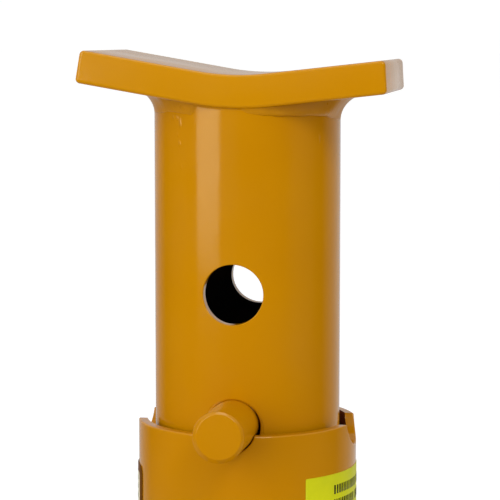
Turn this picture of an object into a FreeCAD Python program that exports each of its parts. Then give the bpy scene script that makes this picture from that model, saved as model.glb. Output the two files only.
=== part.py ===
import FreeCAD, Part

import math
import os

# Axle jack stand: a round post slides in a round base tube and is held by a cross pin
# that lies in notches in the base tube's rim.  Millimetres, +Z up.
# Origin: floor level, on the post's axis.  The pin lies along Y, ring end at +Y.
# The saddle's long side lies along X.

V = FreeCAD.Vector
UP = V(0, 0, 1)
ORIGIN = V(0, 0, 0)

# ---- post (the sliding column) ----
POST_OD = 76.1
POST_WALL = 4.5
POST_BOTTOM_Z = 61.7
HOLE_RADIUS = 12.0
HOLE_PITCH = 53.7
HOLE_COUNT = 4
TOP_HOLE_ABOVE_RIM = 55.2

# ---- base tube ----
BASE_TUBE_OD = 90.0
BASE_TUBE_WALL = 3.6
BASE_TUBE_BOTTOM_Z = 12.0
RIM_Z = 225.0
FRONT_NOTCH_RADIUS = 10.2
FRONT_NOTCH_ABOVE_RIM = 2.4
REAR_NOTCH_RADIUS = 10.6        # the pin's low end rests in this one
REAR_NOTCH_ABOVE_RIM = 0.8
RIGHT_NOTCH_RADIUS = 14.2
RIGHT_NOTCH_ABOVE_RIM = 4.1
RIGHT_NOTCH_OFFSET = 0.5        # towards +Y
LEFT_NOTCH_RADIUS = 12.4
LEFT_NOTCH_ABOVE_RIM = 2.2
LEFT_NOTCH_OFFSET = 2.1         # towards +Y

# ---- saddle: a flat bar bent to a shallow V ----
SADDLE_LEFT_ARM = 61.5
SADDLE_RIGHT_ARM = 60.3
SADDLE_RIGHT_UNDERCUT = 0.7     # the right end is sawn upright, not square to its arm
SADDLE_WIDTH = 79.0
SADDLE_THICKNESS = 13.1
SADDLE_ARM_DEG = 8.1
SADDLE_BEND_RADIUS = 95.0
SADDLE_V_ABOVE_RIM = 140.9
SADDLE_LEAN_DEG = 1.75          # welded on slightly out of level, lower at +X
SADDLE_END_RADIUS = 1.8         # the edges across the bar's two ends
SADDLE_WELD_REACH = 8.5
SADDLE_WELD_DROP = 9.0
SADDLE_WELD_INSET = 0.4

# ---- locking pin and its pull ring ----
PIN_RADIUS = 10.0
PIN_CHAMFER = 1.3
PIN_FRONT_REACH = 72.0
PIN_REAR_REACH = 74.0
PIN_ABOVE_RIM = 1.95
PIN_TIP_DEG = 2.1               # loose in its holes, so it tips down at the ring end
RING_EYE_REACH = 66.0
RING_WIRE_RADIUS = 2.5
RING_EYE_CLEARANCE = 0.05
RING_HALF_WIDTH = 19.0
RING_ARM_LENGTH = 14.0
RING_CORNER_RADIUS = 6.0

# ---- legs: hot-rolled steel angle, one at each corner ----
LEG_FLANGE = 50.0
LEG_THICKNESS = 6.0
LEG_ROOT_RADIUS = 6.0
LEG_TOE_RADIUS = 3.0
LEG_HEEL_RADIUS = 1.0
LEG_TOP_Z = 150.0
LEG_HEEL_AT_TOP = 35.4          # X and Y of the heel line at the top
LEG_HEEL_AT_FOOT = 121.6        # X and Y of the heel line on the foot plate

# ---- foot plates, braces and struts ----
FOOT_SIZE = 72.0
FOOT_THICKNESS = 8.0
FOOT_CENTRE = 104.0
FOOT_CORNER_RADIUS = 8.0
BRACE_LOW_Z = 36.0
BRACE_HIGH_Z = 64.0
BRACE_THICKNESS = 5.0
BRACE_END_INSET = 8.0
STRUT_LOW_Z = 16.0
STRUT_HIGH_Z = 50.0
STRUT_THICKNESS = 6.0

# ---- welds ----
LEG_WELD_RADIUS = 3.6
FOOT_WELD_RADIUS = 3.5
BRACE_WELD_RADIUS = 2.6
STRUT_WELD_RADIUS = 2.8

# ---- labels on the base tube; angles are from the front (-Y) towards +X ----
LABEL_THICKNESS = 0.3
LABEL_HEIGHT = 50.0
RATING_LABEL_BELOW_RIM = 18.3
RATING_LABEL_START_DEG = 40.0
RATING_LABEL_SWEEP_DEG = 96.0
CARE_LABEL_BELOW_RIM = 18.7
CARE_LABEL_START_DEG = -134.0
CARE_LABEL_SWEEP_DEG = 70.0

# ---- worked out from the values above ----
POST_RADIUS = POST_OD / 2
POST_BORE = POST_RADIUS - POST_WALL
BASE_TUBE_RADIUS = BASE_TUBE_OD / 2
BASE_TUBE_BORE = BASE_TUBE_RADIUS - BASE_TUBE_WALL
FOOT_TOP_Z = FOOT_THICKNESS
LEG_SPREAD = (LEG_HEEL_AT_FOOT - LEG_HEEL_AT_TOP) / (LEG_TOP_Z - FOOT_TOP_Z)
SADDLE_V_Z = RIM_Z + SADDLE_V_ABOVE_RIM
SADDLE_LENGTH = SADDLE_LEFT_ARM + SADDLE_RIGHT_ARM
PIN_Z = RIM_Z + PIN_ABOVE_RIM
CORNER_ANGLES = {"front_left": 180, "front_right": 270, "rear_right": 0, "rear_left": 90}
SIDE_ANGLES = {"front": 0, "right": 90, "rear": 180, "left": 270}


def turned(shape, degrees):
    """A copy of the shape turned about the post's axis."""
    copy = shape.copy()
    copy.rotate(ORIGIN, UP, degrees)
    return copy


def cylinder_between(start, end, radius):
    along = end - start
    return Part.makeCylinder(radius, along.Length, start, along)


def tube(outer_radius, bore_radius, bottom_z, top_z):
    height = top_z - bottom_z
    outside = Part.makeCylinder(outer_radius, height, V(0, 0, bottom_z))
    inside = Part.makeCylinder(bore_radius, height, V(0, 0, bottom_z))
    return outside.cut(inside)


def rounded_face(points, radii):
    """A flat face through the points, each corner rounded to its radius (0 leaves it sharp)."""
    edges = []
    joints = []
    count = len(points)
    for i in range(count):
        corner = points[i]
        back = (points[i - 1] - corner).normalize()
        ahead = (points[(i + 1) % count] - corner).normalize()
        if radii[i] == 0:
            joints.append((corner, corner))
            continue
        half = back.getAngle(ahead) / 2
        reach = radii[i] / math.tan(half)
        middle = (back + ahead).normalize()
        centre = corner + middle * (radii[i] / math.sin(half))
        first = corner + back * reach
        last = corner + ahead * reach
        edges.append(Part.Arc(first, centre - middle * radii[i], last).toShape())
        joints.append((first, last))
    for i in range(count):
        start = joints[i][1]
        end = joints[(i + 1) % count][0]
        edges.append(Part.makeLine(start, end))
    return Part.Face(Part.Wire(Part.__sortEdges__(edges)))


def heel_at(z):
    """X and Y of a leg's heel line at height z."""
    return LEG_HEEL_AT_FOOT - LEG_SPREAD * (z - FOOT_TOP_Z)


# ---------------------------------------------------------------- post

def post():
    """The post, cross-drilled along Y and cut to the saddle's underside."""
    body = tube(POST_RADIUS, POST_BORE, POST_BOTTOM_Z, SADDLE_V_Z)
    for i in range(HOLE_COUNT):
        z = RIM_Z + TOP_HOLE_ABOVE_RIM - i * HOLE_PITCH
        body = body.cut(Part.makeCylinder(HOLE_RADIUS, POST_OD, V(0, -POST_RADIUS, z), V(0, 1, 0)))
    return body.cut(saddle_blank(SADDLE_LENGTH))


# ---------------------------------------------------------------- saddle

def saddle_blank(depth):
    """The bent bar, its underside in place and the given depth above it."""
    arm = math.radians(SADDLE_ARM_DEG)
    along_right = V(math.cos(arm), 0, math.sin(arm))
    along_left = V(-math.cos(arm), 0, math.sin(arm))
    under_right = V(math.sin(arm), 0, -math.cos(arm)) * SADDLE_THICKNESS
    under_left = V(-math.sin(arm), 0, -math.cos(arm)) * SADDLE_THICKNESS
    top_right = along_right * SADDLE_RIGHT_ARM
    top_left = along_left * SADDLE_LEFT_ARM
    lift = V(0, 0, depth - SADDLE_THICKNESS)
    upper = [top_right + lift, lift, top_left + lift]
    lower = [
        top_left + under_left,
        V(0, 0, -SADDLE_THICKNESS / math.cos(arm)),
        along_right * (SADDLE_RIGHT_ARM - SADDLE_RIGHT_UNDERCUT) + under_right,
    ]
    edge = SADDLE_END_RADIUS
    under_bend = SADDLE_BEND_RADIUS + SADDLE_THICKNESS
    face = rounded_face(upper + lower, [edge, SADDLE_BEND_RADIUS, edge, edge, under_bend, edge])
    solid = face.extrude(V(0, SADDLE_WIDTH, 0))
    solid.translate(V(0, -SADDLE_WIDTH / 2, SADDLE_V_Z))
    solid.rotate(V(0, 0, SADDLE_V_Z), V(0, 1, 0), SADDLE_LEAN_DEG)
    return solid


def saddle_weld():
    """A hollow-faced fillet round the post's top, thinned where the plate ends close to the post."""
    top_z = SADDLE_V_Z + SADDLE_THICKNESS
    under_z = SADDLE_V_Z - SADDLE_THICKNESS
    turn = 2 * math.atan(SADDLE_WELD_REACH / SADDLE_WELD_DROP)
    hollow = SADDLE_WELD_DROP / math.sin(turn)
    low = V(POST_RADIUS, 0, under_z - SADDLE_WELD_DROP)
    out = V(POST_RADIUS + SADDLE_WELD_REACH, 0, under_z)
    sunk = low + V(hollow * (1 - math.cos(turn / 2)), 0, hollow * math.sin(turn / 2))
    edges = [
        Part.Arc(low, sunk, out).toShape(),
        Part.makeLine(out, V(out.x, 0, top_z)),
        Part.makeLine(V(out.x, 0, top_z), V(POST_RADIUS, 0, top_z)),
        Part.makeLine(V(POST_RADIUS, 0, top_z), low),
    ]
    ring = Part.Face(Part.Wire(edges)).revolve(ORIGIN, UP, 360)
    half = SADDLE_WIDTH / 2 - SADDLE_WELD_INSET
    shadow_points = [
        V(0, -half, top_z),
        V(0, -half, under_z),
        V(0, 0, under_z - half),
        V(0, half, under_z),
        V(0, half, top_z),
    ]
    shadow = rounded_face(shadow_points, [0] * 5).extrude(V(SADDLE_LENGTH, 0, 0))
    shadow.translate(V(-SADDLE_LENGTH / 2, 0, 0))
    return ring.common(shadow).cut(saddle_blank(SADDLE_LENGTH))


# ---------------------------------------------------------------- locking pin

def tipped(shape):
    """Moves a piece made round the pin's own axis to the pin's place."""
    shape.rotate(ORIGIN, V(1, 0, 0), -PIN_TIP_DEG)
    shape.translate(V(0, 0, PIN_Z))
    return shape


def locking_pin():
    profile = [
        V(0, -PIN_FRONT_REACH, 0),
        V(PIN_RADIUS - PIN_CHAMFER, -PIN_FRONT_REACH, 0),
        V(PIN_RADIUS, -PIN_FRONT_REACH + PIN_CHAMFER, 0),
        V(PIN_RADIUS, PIN_REAR_REACH - PIN_CHAMFER, 0),
        V(PIN_RADIUS - PIN_CHAMFER, PIN_REAR_REACH, 0),
        V(0, PIN_REAR_REACH, 0),
    ]
    body = rounded_face(profile, [0] * 6).revolve(ORIGIN, V(0, 1, 0), 360)
    eye_radius = RING_WIRE_RADIUS + RING_EYE_CLEARANCE
    eye = Part.makeCylinder(eye_radius, 2 * PIN_RADIUS, V(-PIN_RADIUS, RING_EYE_REACH, 0), V(1, 0, 0))
    return tipped(body.cut(eye))


def ring_eye():
    """The middle of the pin's cross hole, which the pull ring swings about."""
    tip = math.radians(PIN_TIP_DEG)
    return V(0, RING_EYE_REACH * math.cos(tip), PIN_Z - RING_EYE_REACH * math.sin(tip))


def pull_ring():
    """A D-shaped wire ring: a straight bar through the pin, two arms and a half-round end."""
    eye = ring_eye()
    wide = RING_HALF_WIDTH
    corner = RING_CORNER_RADIUS
    bend = corner * (1 - math.sqrt(0.5))
    low = -RING_ARM_LENGTH
    path = [
        Part.makeLine(V(-wide + corner, 0, 0), V(wide - corner, 0, 0)),
        Part.Arc(V(wide - corner, 0, 0), V(wide - bend, 0, -bend), V(wide, 0, -corner)).toShape(),
        Part.makeLine(V(wide, 0, -corner), V(wide, 0, low)),
        Part.Arc(V(wide, 0, low), V(0, 0, low - wide), V(-wide, 0, low)).toShape(),
        Part.makeLine(V(-wide, 0, low), V(-wide, 0, -corner)),
        Part.Arc(V(-wide, 0, -corner), V(-wide + bend, 0, -bend), V(-wide + corner, 0, 0)).toShape(),
    ]
    section = Part.Wire(Part.makeCircle(RING_WIRE_RADIUS, V(0, 0, 0), V(1, 0, 0)))
    section.translate(V(-wide + corner, 0, 0))
    ring = Part.Wire(path).makePipeShell([section], True, True)
    ring.translate(eye)
    return ring


# ---------------------------------------------------------------- base tube

def rim_notch(outwards, offset, radius):
    """The round cutter for one notch; the offset is from the middle of the rim's plane."""
    centre = V(0, 0, RIM_Z) + offset
    return cylinder_between(centre, centre + outwards * (BASE_TUBE_RADIUS + 1), radius)


def base_tube():
    body = tube(BASE_TUBE_RADIUS, BASE_TUBE_BORE, BASE_TUBE_BOTTOM_Z, RIM_Z)
    notches = [
        rim_notch(V(0, -1, 0), V(0, 0, FRONT_NOTCH_ABOVE_RIM), FRONT_NOTCH_RADIUS),
        rim_notch(V(0, 1, 0), V(0, 0, REAR_NOTCH_ABOVE_RIM), REAR_NOTCH_RADIUS),
        rim_notch(V(1, 0, 0), V(0, RIGHT_NOTCH_OFFSET, RIGHT_NOTCH_ABOVE_RIM), RIGHT_NOTCH_RADIUS),
        rim_notch(V(-1, 0, 0), V(0, LEFT_NOTCH_OFFSET, LEFT_NOTCH_ABOVE_RIM), LEFT_NOTCH_RADIUS),
    ]
    return body.cut(notches)


# ---------------------------------------------------------------- legs and feet

def quadrant():
    """All of the space at +X +Y, where one leg has to stay clear of its neighbours."""
    return Part.makeBox(LEG_HEEL_AT_FOOT + 10, LEG_HEEL_AT_FOOT + 10, RIM_Z)


def leg():
    """The leg at +X +Y: an angle whose heel line leans outwards, coped to the base tube."""
    h = LEG_HEEL_AT_FOOT
    f = LEG_FLANGE
    t = LEG_THICKNESS
    z = FOOT_TOP_Z
    points = [
        V(h, h, z),
        V(h - f, h, z),
        V(h - f, h - t, z),
        V(h - t, h - t, z),
        V(h - t, h - f, z),
        V(h, h - f, z),
    ]
    radii = [LEG_HEEL_RADIUS, 0, LEG_TOE_RADIUS, LEG_ROOT_RADIUS, LEG_TOE_RADIUS, 0]
    rise = LEG_TOP_Z - FOOT_TOP_Z
    lean = -LEG_SPREAD * rise
    angle = rounded_face(points, radii).extrude(V(lean, lean, rise))
    return angle.cut(Part.makeCylinder(BASE_TUBE_RADIUS, RIM_Z)).common(quadrant())


def foot_plate():
    """The plate under the leg at +X +Y."""
    low = FOOT_CENTRE - FOOT_SIZE / 2
    high = FOOT_CENTRE + FOOT_SIZE / 2
    points = [V(low, low, 0), V(high, low, 0), V(high, high, 0), V(low, high, 0)]
    return rounded_face(points, [FOOT_CORNER_RADIUS] * 4).extrude(V(0, 0, FOOT_THICKNESS))


def brace():
    """The flat bar across the front pair of legs, lying on their outer faces."""
    half = heel_at(BRACE_HIGH_Z) - BRACE_END_INSET
    y = -heel_at(BRACE_LOW_Z)
    z = BRACE_LOW_Z
    points = [
        V(-half, y, z),
        V(half, y, z),
        V(half, y - BRACE_THICKNESS, z),
        V(-half, y - BRACE_THICKNESS, z),
    ]
    rise = BRACE_HIGH_Z - BRACE_LOW_Z
    return rounded_face(points, [0] * 4).extrude(V(0, LEG_SPREAD * rise, rise))


def strut():
    """The upright web from the base tube to the inside of the leg at +X +Y."""
    half = STRUT_THICKNESS / 2
    reach_low = math.hypot(heel_at(STRUT_LOW_Z), heel_at(STRUT_LOW_Z)) - LEG_THICKNESS / 2
    reach_high = math.hypot(heel_at(STRUT_HIGH_Z), heel_at(STRUT_HIGH_Z)) - LEG_THICKNESS / 2
    points = [
        V(BASE_TUBE_BORE, -half, STRUT_LOW_Z),
        V(reach_low, -half, STRUT_LOW_Z),
        V(reach_high, -half, STRUT_HIGH_Z),
        V(BASE_TUBE_BORE, -half, STRUT_HIGH_Z),
    ]
    web = turned(rounded_face(points, [0] * 4).extrude(V(0, STRUT_THICKNESS, 0)), 45)
    return web.cut(Part.makeCylinder(BASE_TUBE_RADIUS, RIM_Z)).cut(leg())


# ---------------------------------------------------------------- welds

def trimmed(solid, neighbours):
    """The bead that is left when the pieces it joins are cut away."""
    for piece in neighbours:
        solid = solid.cut(piece)
    return max(solid.Solids, key=lambda piece: piece.Volume)


def bead(start, end, radius, neighbours):
    """A straight weld bead along a corner."""
    return trimmed(cylinder_between(start, end, radius), neighbours)


def leg_welds():
    """The two beads where the flanges of the leg at +X +Y meet the base tube."""
    low_z = FOOT_TOP_Z + (LEG_HEEL_AT_FOOT - BASE_TUBE_RADIUS) / LEG_SPREAD
    points = []
    for z in (LEG_TOP_Z, (LEG_TOP_Z + low_z) / 2, low_z):
        across = heel_at(z)
        along = math.sqrt(max(BASE_TUBE_RADIUS ** 2 - across ** 2, 0))
        points.append(V(along, across, z))
    path = Part.Wire(Part.Arc(points[0], points[1], points[2]).toShape())
    section = Part.Wire(Part.makeCircle(LEG_WELD_RADIUS, points[0], path.Edges[0].tangentAt(0)))
    side = path.makePipeShell([section], True, True)
    joined = [leg(), Part.makeCylinder(BASE_TUBE_RADIUS, RIM_Z)]
    sides = [side, side.mirror(ORIGIN, V(1, -1, 0))]
    return [trimmed(solid.common(quadrant()), joined) for solid in sides]


def foot_welds():
    """Beads along the outer faces of the leg at +X +Y, on its foot plate."""
    h = LEG_HEEL_AT_FOOT
    z = FOOT_TOP_Z
    joined = [leg(), foot_plate()]
    first = bead(V(h - LEG_FLANGE, h, z), V(h, h, z), FOOT_WELD_RADIUS, joined)
    second = bead(V(h, h - LEG_FLANGE, z), V(h, h, z), FOOT_WELD_RADIUS, joined + [first])
    return [first, second]


def brace_welds():
    """Beads at the two ends of the front brace."""
    half = heel_at(BRACE_HIGH_Z) - BRACE_END_INSET
    joined = [brace(), turned(leg(), 180), turned(leg(), 270)]
    beads = []
    for x in (-half, half):
        low = V(x, -heel_at(BRACE_LOW_Z), BRACE_LOW_Z)
        high = V(x, -heel_at(BRACE_HIGH_Z), BRACE_HIGH_Z)
        beads.append(bead(low, high, BRACE_WELD_RADIUS, joined))
    return beads


def strut_welds():
    """Beads at both ends of the strut at +X +Y, one on each of its sides."""
    half = STRUT_THICKNESS / 2
    joined = [strut(), leg(), Part.makeCylinder(BASE_TUBE_RADIUS, RIM_Z)]
    at_tube = math.sqrt(BASE_TUBE_RADIUS ** 2 - half ** 2)
    at_leg_low = (heel_at(STRUT_LOW_Z) - LEG_THICKNESS) * math.sqrt(2) - half
    at_leg_high = (heel_at(STRUT_HIGH_Z) - LEG_THICKNESS) * math.sqrt(2) - half
    beads = []
    for y in (-half, half):
        for low_x, high_x in ((at_tube, at_tube), (at_leg_low, at_leg_high)):
            turn = FreeCAD.Rotation(UP, 45)
            low = turn.multVec(V(low_x, y, STRUT_LOW_Z))
            high = turn.multVec(V(high_x, y, STRUT_HIGH_Z))
            beads.append(bead(low, high, STRUT_WELD_RADIUS, joined))
    return beads


# ---------------------------------------------------------------- labels

def label(start_deg, sweep_deg, below_rim):
    """A thin sticker wrapped on the base tube; angles run from the front towards +X."""
    outer = BASE_TUBE_RADIUS + LABEL_THICKNESS
    low_z = RIM_Z - below_rim - LABEL_HEIGHT
    high_z = low_z + LABEL_HEIGHT
    points = [
        V(BASE_TUBE_RADIUS, 0, low_z),
        V(outer, 0, low_z),
        V(outer, 0, high_z),
        V(BASE_TUBE_RADIUS, 0, high_z),
    ]
    band = rounded_face(points, [0] * 4).revolve(ORIGIN, UP, sweep_deg)
    return turned(band, start_deg - 90)


# ---------------------------------------------------------------- the stand

def parts():
    pieces = {
        "post": post(),
        "saddle_plate": saddle_blank(SADDLE_THICKNESS),
        "saddle_weld": saddle_weld(),
        "locking_pin": locking_pin(),
        "pull_ring": pull_ring(),
        "base_tube": base_tube(),
        "rating_label": label(RATING_LABEL_START_DEG, RATING_LABEL_SWEEP_DEG, RATING_LABEL_BELOW_RIM),
        "care_label": label(CARE_LABEL_START_DEG, CARE_LABEL_SWEEP_DEG, CARE_LABEL_BELOW_RIM),
    }
    for corner, angle in CORNER_ANGLES.items():
        pieces["leg_" + corner] = turned(leg(), angle)
        pieces["foot_" + corner] = turned(foot_plate(), angle)
        pieces["strut_" + corner] = turned(strut(), angle)
    for side, angle in SIDE_ANGLES.items():
        pieces["brace_" + side] = turned(brace(), angle)
    welds = {
        "leg_welds": leg_welds(),
        "foot_welds": foot_welds(),
        "strut_welds": strut_welds(),
        "brace_welds": brace_welds(),
    }
    for name, beads in welds.items():
        group = [turned(solid, angle) for angle in SIDE_ANGLES.values() for solid in beads]
        pieces[name] = Part.makeCompound(group)
    return pieces


os.makedirs("parts", exist_ok=True)
for name, shape in parts().items():
    print(name, "valid", shape.isValid(), "solids", len(shape.Solids), "volume", round(shape.Volume))
    shape.exportStep("parts/" + name + ".step")
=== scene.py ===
import math
import random

import bmesh
import bpy
from mathutils import Matrix, Vector
from mathutils.bvhtree import BVHTree


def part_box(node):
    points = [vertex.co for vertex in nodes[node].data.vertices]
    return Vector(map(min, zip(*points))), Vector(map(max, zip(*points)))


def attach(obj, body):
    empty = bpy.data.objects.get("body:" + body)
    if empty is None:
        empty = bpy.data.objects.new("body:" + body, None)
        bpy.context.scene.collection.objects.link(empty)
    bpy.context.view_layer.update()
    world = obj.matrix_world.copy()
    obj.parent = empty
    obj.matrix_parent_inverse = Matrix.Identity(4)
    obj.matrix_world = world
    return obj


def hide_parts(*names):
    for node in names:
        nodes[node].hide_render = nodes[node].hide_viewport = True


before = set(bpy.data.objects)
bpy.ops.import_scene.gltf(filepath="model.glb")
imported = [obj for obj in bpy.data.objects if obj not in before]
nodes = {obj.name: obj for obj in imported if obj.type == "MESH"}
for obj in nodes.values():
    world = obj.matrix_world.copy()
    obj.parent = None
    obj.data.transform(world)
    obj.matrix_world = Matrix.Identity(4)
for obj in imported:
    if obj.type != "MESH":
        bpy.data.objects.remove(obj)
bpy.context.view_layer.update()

MM = 0.001
CORNERS = ("front_left", "front_right", "rear_right", "rear_left")
SIDES = ("front", "right", "rear", "left")


# ---------------------------------------------------------------- sizes read from the frame

def vertices_of(node):
    return [vertex.co.copy() for vertex in nodes[node].data.vertices]


def surface_of(node):
    mesh = nodes[node].data
    triangles = [tuple(face.vertices) for face in mesh.polygons]
    return BVHTree.FromPolygons(vertices_of(node), triangles)


POST_LOW, POST_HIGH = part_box("post")
TUBE_LOW, TUBE_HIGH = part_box("base_tube")
POST_WALL = 4.5 * MM
POST_RADIUS = POST_HIGH.x
POST_BORE = POST_RADIUS - POST_WALL
TUBE_WALL = 3.6 * MM
TUBE_RADIUS = TUBE_HIGH.x
TUBE_BORE = TUBE_RADIUS - TUBE_WALL
RIM_Z = TUBE_HIGH.z
SADDLE_LOW, SADDLE_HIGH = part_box("saddle_plate")

HOLE_RADIUS = 12.0 * MM
HOLE_PITCH = 53.7 * MM
TOP_HOLE_Z = RIM_Z + 55.2 * MM
HOLE_COUNT = 4
FRONT_NOTCH_RADIUS = 10.2 * MM
FRONT_NOTCH_Z = RIM_Z + 3.1 * MM
REAR_NOTCH_RADIUS = 10.6 * MM
REAR_NOTCH_Z = RIM_Z + 0.8 * MM
RIGHT_NOTCH_RADIUS = 14.2 * MM
RIGHT_NOTCH_Z = RIM_Z + 4.1 * MM
RIGHT_NOTCH_OFFSET = 0.5 * MM
LEFT_NOTCH_RADIUS = 12.4 * MM
LEFT_NOTCH_Z = RIM_Z + 2.2 * MM
LEFT_NOTCH_OFFSET = 2.1 * MM
TUBE_EDGE = 0.7 * MM
POST_EDGE = 0.5 * MM

PIN_RADIUS = 10.0 * MM
PIN_CHAMFER = 1.3 * MM
PIN_EDGE = 0.55 * MM
PIN_END_ROWS = 10
PIN_SKEW = Vector((0.35 * MM, 0, 0.3 * MM))
PIN_TIP = math.radians(2.1)
PIN_FRONT = -72.0 * MM
PIN_REAR = 74.0 * MM
PIN_Z = RIM_Z + 1.95 * MM
RING_EYE = 66.0 * MM
RING_WIRE = 2.5 * MM
RING_PLAY = 0.05 * MM

SADDLE_THICKNESS = 13.1 * MM
SADDLE_LEFT_ARM = 61.5 * MM
SADDLE_RIGHT_ARM = 60.3 * MM
SADDLE_RIGHT_UNDERCUT = 0.7 * MM
SADDLE_END_RADIUS = 1.8 * MM
SADDLE_EDGE = 1.3 * MM
SADDLE_WIDTH = SADDLE_HIGH.y - SADDLE_LOW.y
SADDLE_ARM = math.radians(8.1)
SADDLE_LEAN = math.radians(1.75)
SADDLE_BEND = 95.0 * MM
SADDLE_V_Z = RIM_Z + 140.9 * MM

SLIVER = 0.004 * MM
SAME_POINT = 0.0001 * MM
TUBE_SEGMENTS = 256
FRONT, REAR = Vector((0, -1, 0)), Vector((0, 1, 0))
RIGHT, LEFT = Vector((1, 0, 0)), Vector((-1, 0, 0))


# ---------------------------------------------------------------- mesh tools

def new_piece(name, verts, faces):
    mesh = bpy.data.meshes.new(name)
    mesh.from_pydata([tuple(v) for v in verts], [], faces)
    mesh.validate()
    piece = bpy.data.objects.new(name, mesh)
    bpy.context.scene.collection.objects.link(piece)
    shell = bmesh.new()
    shell.from_mesh(mesh)
    bmesh.ops.remove_doubles(shell, verts=shell.verts, dist=SAME_POINT)
    bmesh.ops.recalc_face_normals(shell, faces=shell.faces)
    for face in shell.faces:
        face.smooth = True
    shell.to_mesh(mesh)
    shell.free()
    return piece


def side_faces(rings, around):
    """Quads between each ring of points and the next; every ring holds the same number of points."""
    faces = []
    for ring in range(rings - 1):
        here, there = ring * around, (ring + 1) * around
        for i in range(around):
            k = (i + 1) % around
            faces.append((here + i, here + k, there + k, there + i))
    return faces


def capped_faces(rings, around):
    """The quads of side_faces, with the first and the last ring closed off."""
    last = (rings - 1) * around
    return [tuple(range(around)), tuple(range(last, last + around))] + side_faces(rings, around)


def looped_faces(columns, rows):
    """Quads of a ring-shaped solid: columns of points stand round an axis, and each is a closed loop."""
    faces = []
    for i in range(columns):
        here, there = i * rows, ((i + 1) % columns) * rows
        for j in range(rows):
            k = (j + 1) % rows
            faces.append((here + j, there + j, there + k, here + k))
    return faces


def turned_tube(name, profile):
    """The closed solid that a profile of (radius, height) points sweeps round the upright axis."""
    verts = []
    for i in range(TUBE_SEGMENTS):
        angle = 2 * math.pi * i / TUBE_SEGMENTS
        for radius, height in profile:
            verts.append((radius * math.sin(angle), -radius * math.cos(angle), height))
    return new_piece(name, verts, looped_faces(TUBE_SEGMENTS, len(profile)))


def rounded_corner(radius, height, edge, up, steps=6):
    """Profile points that round a tube's outer corner; the run goes upwards."""
    points = []
    for i in range(steps + 1):
        bend = math.pi / 2 * i / steps
        if up:
            points.append((radius - edge * (1 - math.cos(bend)), height - edge * (1 - math.sin(bend))))
        else:
            points.append((radius - edge * (1 - math.sin(bend)), height + edge * (1 - math.cos(bend))))
    return points


def rod(start, end, radius, segments):
    """A plain round cutter between two points; it is used up by cut()."""
    along = end - start
    turn = along.to_track_quat("Z", "Y").to_matrix()
    verts = []
    for base in (start, end):
        for i in range(segments):
            angle = 2 * math.pi * i / segments
            verts.append(base + turn @ Vector((radius * math.cos(angle), radius * math.sin(angle), 0)))
    return new_piece("cutter", verts, capped_faces(2, segments))


def flared_cutter(outwards, offset, radius, tube_radius, edge):
    """A round cutter through one wall of an upright tube that leaves the hole's outer edge rounded.

    It runs along outwards from the tube's axis, centred on the offset, and opens by the edge radius
    just where it meets the tube's round outer wall.
    """
    segments = 128
    steps = 6
    across = Vector((0, 0, 1)).cross(outwards)
    side = across.dot(offset)
    rows = []
    for i in range(segments):
        turn = 2 * math.pi * i / segments
        points = [(radius, 0.3 * tube_radius)]
        for k in range(steps + 1):
            bend = math.pi / 2 * k / steps
            wide = radius + edge * (1 - math.cos(bend))
            wall = math.sqrt(tube_radius ** 2 - (side + wide * math.cos(turn)) ** 2)
            points.append((wide, wall - edge * (1 - math.sin(bend)) + 0.02 * MM))
        points.append((radius + 1.02 * edge, tube_radius + 3 * MM))
        rows.append([offset + (across * math.cos(turn) + Vector((0, 0, math.sin(turn)))) * wide +
                     outwards * depth for wide, depth in points])
    count = len(rows[0])
    verts = [point for row in rows for point in row]
    faces = [tuple(i * count for i in range(segments)), tuple(i * count + count - 1 for i in range(segments))]
    for i in range(segments):
        here, there = i * count, ((i + 1) % segments) * count
        for j in range(count - 1):
            faces.append((here + j, there + j, there + j + 1, here + j + 1))
    return new_piece("cutter", verts, faces)


def apply_modifiers(piece):
    graph = bpy.context.evaluated_depsgraph_get()
    mesh = bpy.data.meshes.new_from_object(piece.evaluated_get(graph))
    old = piece.data
    piece.modifiers.clear()
    piece.data = mesh
    mesh.name = piece.name
    bpy.data.meshes.remove(old)


def drop_slivers(piece):
    """Closes the hair-thin faces that a cut can leave."""
    shell = bmesh.new()
    shell.from_mesh(piece.data)
    bmesh.ops.remove_doubles(shell, verts=shell.verts, dist=SLIVER)
    bmesh.ops.dissolve_degenerate(shell, edges=shell.edges, dist=SLIVER)
    shell.to_mesh(piece.data)
    shell.free()


def cut(piece, cutters):
    """Takes the cutters away from a piece and uses them up."""
    for cutter in cutters:
        modifier = piece.modifiers.new("cut", "BOOLEAN")
        modifier.operation = "DIFFERENCE"
        modifier.solver = "EXACT"
        modifier.object = cutter
    apply_modifiers(piece)
    for cutter in cutters:
        bpy.data.objects.remove(cutter)
    drop_slivers(piece)


def soften(piece, width, segments, angle):
    """Rounds the edges that turn by more than an angle in degrees; short edges hold the width back."""
    bevel = piece.modifiers.new("soft_edges", "BEVEL")
    bevel.width = width
    bevel.segments = segments
    bevel.limit_method = "ANGLE"
    bevel.angle_limit = math.radians(angle)
    bevel.harden_normals = True
    bevel.use_clamp_overlap = True
    return piece


def even_shading(piece):
    """Keeps the shading of big faces true up to the rounded edges that meet them."""
    weighted = piece.modifiers.new("even_shading", "WEIGHTED_NORMAL")
    weighted.mode = "FACE_AREA"
    weighted.weight = 50


def inner_wall_material(tube, bore):
    """Gives the inner wall of a tube its second material."""
    for face in tube.data.polygons:
        inner = all(tube.data.vertices[i].co.xy.length < bore + 0.1 * MM for i in face.vertices)
        face.material_index = 1 if inner else 0


def finish_piece(piece, body, material, slot, *replaced):
    if material:
        piece.data.materials.clear()
        piece.data.materials.append(material)
    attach(piece, body)
    if replaced:
        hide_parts(*replaced)


# ---------------------------------------------------------------- materials

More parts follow.
